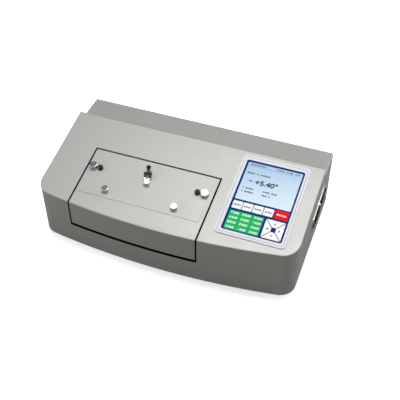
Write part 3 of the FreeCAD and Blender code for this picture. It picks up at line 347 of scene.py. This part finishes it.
def two_part(name, box, first, second):
    """One node with two looks, each (colour, roughness, metallic): second inside a box, first elsewhere."""
    s = Shader(name)
    share = s.inside(*box)
    tone = s.mix(share, tint(first[0]), tint(second[0]))
    normal = s.bump(s.noise(900, 2), 0.01 * MM)
    smooth = s.maths("ADD", s.spread(s.noise(200, 3), -0.03, 0.04),
                     s.spread(share, first[1], second[1], 0, 1))
    metal = s.spread(share, first[2], second[2], 0, 1)
    return s.finish(s.principled(tone, smooth, metal, normal, Specular_IOR_Level=0.2))


FORK_START = 6.2 * MM         # from the lever's axle to where its fork starts


def lever_metal():
    """Bright boss; the fork and the ball beyond it are black."""
    low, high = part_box("lid_lever")
    fork = JOINTS["lid_lever_turn"]["pos_m"][1] + FORK_START
    black_end = ((low.x - MM, fork, low.z - MM), high + Vector((MM, MM, MM)))
    bright, black = ((0.80, 0.80, 0.81), 0.14, 1.0), ((0.012, 0.012, 0.012), 0.3, 0.0)
    return two_part("lever_metal", black_end, bright, black)


# Where the mains inlet's pins are, from the limits of its moulding.
INLET_MIDDLE, PIN_REACH = 15.8 * MM, 8.3 * MM     # up the slope: the inlet's middle, and either side of it
PIN_BELOW, PIN_ABOVE = 3.8 * MM, 4.8 * MM         # across the slope, from the moulding's middle
PIN_ROOT, PIN_TIP = 10.3 * MM, 4.8 * MM           # along x, from the moulding's back and from its face


def inlet_body():
    """Black moulding, parallel to the panel, with the three contact pins inside its recess left bare."""
    low, high = span("mains_inlet")
    middle_v = low.y + INLET_MIDDLE
    middle_w = (low.z + high.z) / 2 + W_AXIS.dot(SURFACE)
    pins = ((low.x + PIN_ROOT, middle_v - PIN_REACH, middle_w - PIN_BELOW),
            (high.x - PIN_TIP, middle_v + PIN_REACH, middle_w + PIN_ABOVE), (X_AXIS, V_AXIS, W_AXIS))
    plastic, bare = ((0.012, 0.012, 0.013), 0.42, 0.0), ((0.55, 0.5, 0.4), 0.3, 1.0)
    return two_part("inlet_plastic", pins, plastic, bare)


# ---- every CAD node's finish ----
SILVER = (0.46, 0.46, 0.445)
WHITE = (0.93, 0.94, 0.97)
RED = (0.88, 0.002, 0.003)
GREEN, DARK_GREEN = (0.0, 0.60, 0.14), (0.0, 0.33, 0.14)
BLUE = (0.0, 0.022, 0.20)
MAIN_BOARD_TOP = 1.7 * MM     # what stands above this is a component
PLAIN_BOARD = 30 * MM         # more than the board's whole height, so that all of it is mask


def finish_nodes():
    """Gives every CAD node its one material."""
    paint = case_paint("case_paint", SILVER)
    zinc = brushed("zinc_sheet", (0.55, 0.56, 0.57), 0.35)
    ground = brushed("ground_steel", (0.6, 0.6, 0.6), 0.25)
    machined = brushed("machined_aluminium", (0.68, 0.69, 0.70), 0.3)
    black_metal = grained("black_anodised", (0.015, 0.015, 0.016), 0.5, 0.4, contrast=0.15)
    rubber = grained("black_rubber", (0.018, 0.018, 0.018), 0.75, depth=0.03 * MM, contrast=0.2)
    film = optical("polarising_film", (0.25, 0.25, 0.28))
    glass = optical("optical_glass", (0.93, 0.97, 0.98))
    keys = {
        "white": grained("key_white", WHITE, 0.35, depth=0.01 * MM, contrast=0.01),
        "red": grained("key_red", RED, 0.5, depth=0.01 * MM, Specular_IOR_Level=0.1),
        "green": grained("key_green", GREEN, 0.5, depth=0.01 * MM, Specular_IOR_Level=0.1),
    }
    finishes = {
        "top_cover": paint,
        "chamber_lid": paint,
        # The rear cover's grey is darker than the case paint to match the darker rear deck: partly its own paint,
        # partly painted shade on the deck.
        "rear_panel": grained("rear_paint", (0.32, 0.32, 0.315), 0.5, 0.1),
        "base_plate": zinc,
        "power_supply": zinc,
        "lid_hinge_brackets": zinc,
        "rubber_feet": rubber,
        "lid_plugs": rubber,
        # Near-black seal laid flush in the lid gap and on the ledge under the lid's front, so the whole gap reads
        # black: partly a real seal, partly a dark sheet standing in for painted shade in the gap.
        "lid_gasket": grained("gasket_foam", (0.006, 0.006, 0.006), 0.9, depth=0.03 * MM, contrast=0.2,
                              Specular_IOR_Level=0.1),
        "case_screws": brushed("screw_steel", (0.03, 0.03, 0.03), 0.4),
        "power_entry_plate": brushed("entry_plate", (0.80, 0.80, 0.79), 0.28, (40, 1, 40)),
        "mains_inlet": inlet_body(),
        "power_rocker": grained("rocker_plastic", (0.008, 0.008, 0.008), 0.4, contrast=0.1,
                                Specular_IOR_Level=0.2),
        "lid_studs": polished("stud_metal"),
        "lid_lever": lever_metal(),
        "lid_hinge_pin": ground,
        "worm_shaft": ground,
        "analyser_bearings": ground,
        "chamber_tub": grained("chamber_black", (0.012, 0.012, 0.012), 0.7, contrast=0.2),
        "tube_cradle": black_metal,
        "lamp_housing": black_metal,
        "detector_housing": black_metal,
        "chamber_windows": glass,
        "lenses": glass,
        "modulator_rod": glass,
        "interference_filter": optical("filter_glass", (0.95, 0.55, 0.1)),
        "polariser": film,
        "analyser_film": film,
        "keypad_bezel": grained("bezel_white", (0.76, 0.775, 0.81), 0.45, depth=0.015 * MM, contrast=0.012),
        "keypad_overlay": grained("overlay_blue", BLUE, 0.5, depth=0.012 * MM, contrast=0.06,
                                  Specular_IOR_Level=0.1),
        "lcd_panel": screen_picture("lit_screen"),
        "panel_board": circuit_board("panel_board_mask", "panel_board", PLAIN_BOARD),
        "main_board": circuit_board("main_board_mask", "main_board", MAIN_BOARD_TOP),
        "optical_bench": machined,
        "analyser_housing": machined,
        "led_lamp": grained("lamp_resin", (0.9, 0.8, 0.5), 0.2),
        "modulator_coil": winding("copper_winding"),
        "analyser_wheel": brushed("gear_brass", (0.72, 0.52, 0.22), 0.3),
        "drive_motor": grained("motor_black", (0.03, 0.03, 0.032), 0.4, 0.2),
    }
    for name in NODES:
        if name.startswith(("soft_key", "arrow_key")):
            finishes[name] = keys["white"]
        elif name == "start_key":
            finishes[name] = keys["red"]
        elif name.startswith("key_") and name not in finishes:
            finishes[name] = keys["green"]
    for name, node in NODES.items():
        node.data.materials.clear()
        node.data.materials.append(finishes[name])


# ---- legends on the keys ----
# Places on a digit key are shares of its cap's width and depth.
SIGN_LEFT, SIGN_WIDTH, SIGN_MARGIN = 0.14, 0.14, 0.2
DOT_SIZE, DOT_BOTTOM = 0.16, 0.25
WORD_LEFT, WORD_RIGHT, WORD_MARGIN = 0.36, 0.10, 0.26
CAPTION_LEFT, CAPTION_RIGHT, CAPTION_HALF = 0.14, 0.12, 1.9 * MM
ARROW_SIZE = 2.2 * MM


def legend_height(node):
    """Lower and upper face of the print on top of a key."""
    top = span(node)[1].z
    return top - INK / 2, top + INK / 2


def cap_rectangle(node):
    """The cap's own rectangle; the stem under it is narrower, so the node's span is the cap's."""
    low, high = span(node)
    return low.x, high.x, low.y, high.y


def digit_legends(ink):
    """A digit, point or sign at the left of each green key, and a word-like row beside it."""
    signs = {"key_point": ".", "key_sign": "±"}
    signs.update({f"key_{number}": str(number) for number in range(10)})
    for node, sign in signs.items():
        x0, x1, v0, v1 = cap_rectangle(node)
        width, depth = x1 - x0, v1 - v0
        w0, w1 = legend_height(node)
        mesh = bmesh.new()
        left = x0 + width * SIGN_LEFT
        if sign == ".":
            dot, bottom = depth * DOT_SIZE, v0 + depth * DOT_BOTTOM
            add_prism(mesh, rounded_outline(left, left + dot, bottom, bottom + dot, dot * 0.4), w0, w1)
        else:
            margin = depth * SIGN_MARGIN
            add_text(mesh, sign, left, left + width * SIGN_WIDTH, v0 + margin, v1 - margin, w0, w1)
        margin = depth * WORD_MARGIN
        add_word(mesh, x0 + width * WORD_LEFT, x1 - width * WORD_RIGHT, v0 + margin, v1 - margin, 4, w0, w1)
        printed("legend_" + node, mesh, body_of(node), ink)


def word_legends(nodes, letters, ink):
    """One word-like row across the middle of each key."""
    for node in nodes:
        x0, x1, v0, v1 = cap_rectangle(node)
        width, middle = x1 - x0, (v0 + v1) / 2
        w0, w1 = legend_height(node)
        mesh = bmesh.new()
        add_word(mesh, x0 + width * CAPTION_LEFT, x1 - width * CAPTION_RIGHT,
                 middle - CAPTION_HALF, middle + CAPTION_HALF, letters, w0, w1)
        printed("legend_" + node, mesh, body_of(node), ink)


def arrow_legends(ink):
    """Four triangles, each a quarter turn on from the one before."""
    corners = ((-ARROW_SIZE, -ARROW_SIZE * 0.7), (ARROW_SIZE, -ARROW_SIZE * 0.7), (0, ARROW_SIZE * 0.9))
    for turn, way in enumerate(("up", "left", "down", "right")):
        node = "arrow_key_" + way
        low, high = span(node)
        middle = (low + high) / 2
        points = []
        for x, v in corners:
            for _ in range(turn):
                x, v = -v, x
            points.append((middle.x + x, middle.y + v))
        mesh = bmesh.new()
        w0, w1 = legend_height(node)
        add_prism(mesh, points, w0, w1)
        printed("legend_" + node, mesh, body_of(node), ink)


# ---- print on the keypad film and its frame ----
FIELD_CLEAR = 0.16 * MM       # from a printed field to the key beside it
FIELD_ROUND = 0.1 * MM
OUTLINE_INSET, OUTLINE_WIDTH, OUTLINE_RADIUS = 4.0 * MM, 0.7 * MM, 5.5 * MM


def field_strips(name, nodes, ink):
    """A printed field on the film between and under neighbouring keys, with an opening for each key."""
    film_top = span("keypad_overlay")[1].z
    w0, w1 = film_top - INK / 2, film_top + INK / 2
    rectangles = [cap_rectangle(node) for node in nodes]
    tops = sorted({round(r[3], 5) for r in rectangles})
    bottoms = sorted({round(r[2], 5) for r in rectangles})
    mesh = bmesh.new()

    def strip(x0, x1, v0, v1):
        add_prism(mesh, rounded_outline(x0, x1, v0, v1, FIELD_ROUND, 2), w0, w1)

    for top in reversed(tops):
        row = sorted(r for r in rectangles if round(r[3], 5) == top)
        for left, right in zip(row, row[1:]):
            strip(left[1] + FIELD_CLEAR, right[0] - FIELD_CLEAR, left[2], left[3])
    x0, x1 = min(r[0] for r in rectangles), max(r[1] for r in rectangles)
    for below, above in zip(tops, bottoms[1:]):
        strip(x0, x1, below + FIELD_CLEAR, above - FIELD_CLEAR)
    printed(name, mesh, "case", ink)


def bezel_outline(ink):
    """A thin line round the frame, near its outer edge."""
    low, high = span("keypad_bezel")
    outlines = []
    for more in (0.0, OUTLINE_WIDTH):
        inset, radius = OUTLINE_INSET + more, OUTLINE_RADIUS - more
        outlines.append(rounded_outline(low.x + inset, high.x - inset,
                                        low.y + inset, high.y - inset, radius))
    mesh = bmesh.new()
    add_ring(mesh, *outlines, high.z - INK / 2, high.z + INK / 2)
    printed("bezel_outline", mesh, "case", ink)


# Each word-like row on the screen: x0, x1, the line it stands on, and how many letters.
# Places are shares of the screen's width and height, from its lower left.
SCREEN_WORDS = (
    (0.06, 0.34, 0.930, 8), (0.52, 0.68, 0.930, 5), (0.71, 0.83, 0.930, 4), (0.86, 0.96, 0.930, 3),
    (0.05, 0.19, 0.700, 4), (0.23, 0.26, 0.700, 1), (0.29, 0.47, 0.700, 6),
    (0.07, 0.09, 0.305, 1), (0.12, 0.26, 0.305, 5), (0.07, 0.09, 0.215, 1), (0.12, 0.28, 0.215, 5),
    (0.43, 0.55, 0.305, 4), (0.58, 0.68, 0.305, 3), (0.43, 0.52, 0.215, 3), (0.55, 0.58, 0.215, 1),
)
TITLE_LINE, TITLE_HEIGHT, WORD_HEIGHT = 0.930, 0.030, 0.040
RULE = (0.03, 0.97, 0.897, 0.903)
READING, READING_AT = "+5.40°", (0.24, 0.64, 0.455, 0.59)
READING_NAME_AT = (0.13, 0.20, 0.505, 0.545)


def screen_marks(ink):
    """The reading, its captions and the rule under the title line."""
    low, high = span("lcd_panel")
    width, height = high.x - low.x, high.y - low.y
    w0, w1 = high.z - INK / 2, high.z + INK / 2

    def place(x0, x1, v0, v1):
        return low.x + x0 * width, low.x + x1 * width, low.y + v0 * height, low.y + v1 * height

    mesh = bmesh.new()
    for x0, x1, line, letters in SCREEN_WORDS:
        tall = TITLE_HEIGHT if line == TITLE_LINE else WORD_HEIGHT
        add_word(mesh, *place(x0, x1, line, line + tall), letters, w0, w1)
    add_prism(mesh, rounded_outline(*place(*RULE), FIELD_ROUND, 2), w0, w1)
    add_word(mesh, *place(*READING_NAME_AT), 2, w0, w1)
    add_text(mesh, READING, *place(*READING_AT), w0, w1)
    printed("screen_marks", mesh, "case", ink)


def draw_legends():
    dark = grained("legend_dark", (0.02, 0.025, 0.05), 0.5, contrast=0.1)
    white = grained("legend_white", (0.85, 0.87, 0.88), 0.5, contrast=0.02)
    grey = grained("legend_grey", (0.14, 0.15, 0.19), 0.5, contrast=0.05)
    line = grained("outline_grey", (0.26, 0.27, 0.31), 0.5, contrast=0.05)
    soft_keys = [f"soft_key_{number}" for number in range(1, 5)]
    digit_keys = [name for name in NODES if name.startswith("key_") and body_of(name).startswith("key_")]
    digit_legends(white)
    word_legends(soft_keys, 5, grey)
    word_legends(["start_key"], 5, white)
    arrow_legends(dark)
    field_strips("soft_key_dividers", soft_keys, grey)
    dividers = grained("divider_green", DARK_GREEN, 0.4, contrast=0.05)
    field_strips("digit_key_dividers", digit_keys, dividers)
    bezel_outline(line)
    screen_marks(dark)


# ---- stage ----
FLOOR_REACH = 6.0
FLOOR_SEEN = ((0.92, 0.92, 0.92), (0.95, 0.95, 0.95))
FLOOR_REFLECTED = (0.30, 0.29, 0.28)
FLOOR_GLOW = 0.7
WORLD_LIGHT, WORLD_SEEN = 0.22, 0.92
LIGHTS = (
    # name, place, what it points at, width and height, watts
    ("overhead", (0.15, 0.36, 2.3), (0.15, 0.18, 0.1), (1.95, 1.45), 36),
    ("right_rear", (1.7, 1.2, 0.9), (0.0, 0.0, 0.1), (1.0, 1.2), 16),
    ("front_left", (-1.8, -1.0, 0.9), (0.0, 0.0, 0.1), (1.6, 1.0), 14),
)
CAMERA_PLACE, CAMERA_LOOK = (0.3684, -0.9353, 1.0610), (-0.2432, 0.6664, -0.7048)
CAMERA_LENS, CAMERA_SENSOR = 68.5, 36.0


def floor():
    """Pale floor, darker in what the instrument reflects than in the picture."""
    s = Shader("pale_floor")
    tone = s.mix(s.spread(s.noise(3, 2), 0, 1), *(tint(colour) for colour in FLOOR_SEEN))
    seen = s.add("ShaderNodeLightPath").outputs["Is Camera Ray"]
    glow = s.maths("MULTIPLY", seen, FLOOR_GLOW)
    surface = s.principled(s.mix(seen, tint(FLOOR_REFLECTED), tone), 0.9,
                           Emission_Color=tone, Emission_Strength=glow)
    data = bpy.data.meshes.new("floor")
    corners = [(x * FLOOR_REACH, y * FLOOR_REACH, 0) for x, y in ((-1, -1), (1, -1), (1, 1), (-1, 1))]
    data.from_pydata(corners, [], [(0, 1, 2, 3)])
    data.materials.append(s.finish(surface))
    plane = bpy.data.objects.new("floor", data)
    bpy.context.scene.collection.objects.link(plane)


def turn_towards(thing, direction):
    thing.rotation_euler = Vector(direction).to_track_quat("-Z", "Y").to_euler()


def soft_light(name, place, target, size, power):
    data = bpy.data.lights.new(name, "AREA")
    data.shape = "RECTANGLE"
    data.size, data.size_y = size
    data.energy = power
    lamp = bpy.data.objects.new(name, data)
    lamp.location = place
    turn_towards(lamp, Vector(target) - Vector(place))
    bpy.context.scene.collection.objects.link(lamp)


def room():
    """White surroundings, bright to the camera and dim as a source of light."""
    world = bpy.data.worlds.new("studio")
    world.use_nodes = True
    tree = world.node_tree
    background = tree.nodes["Background"]
    background.inputs["Color"].default_value = (1, 1, 1, 1)
    strength = tree.nodes.new("ShaderNodeMapRange")
    seen = tree.nodes.new("ShaderNodeLightPath").outputs["Is Camera Ray"]
    tree.links.new(seen, strength.inputs["Value"])
    strength.inputs["To Min"].default_value = WORLD_LIGHT
    strength.inputs["To Max"].default_value = WORLD_SEEN
    tree.links.new(strength.outputs[0], background.inputs["Strength"])
    bpy.context.scene.world = world
    bpy.context.scene.view_settings.view_transform = "Standard"


def camera():
    data = bpy.data.cameras.new("camera")
    data.lens = CAMERA_LENS
    data.sensor_width = CAMERA_SENSOR
    eye = bpy.data.objects.new("camera", data)
    eye.location = CAMERA_PLACE
    turn_towards(eye, CAMERA_LOOK)
    bpy.context.scene.collection.objects.link(eye)
    bpy.context.scene.camera = eye


finish_nodes()
draw_legends()
floor()
room()
for light in LIGHTS:
    soft_light(*light)
camera()
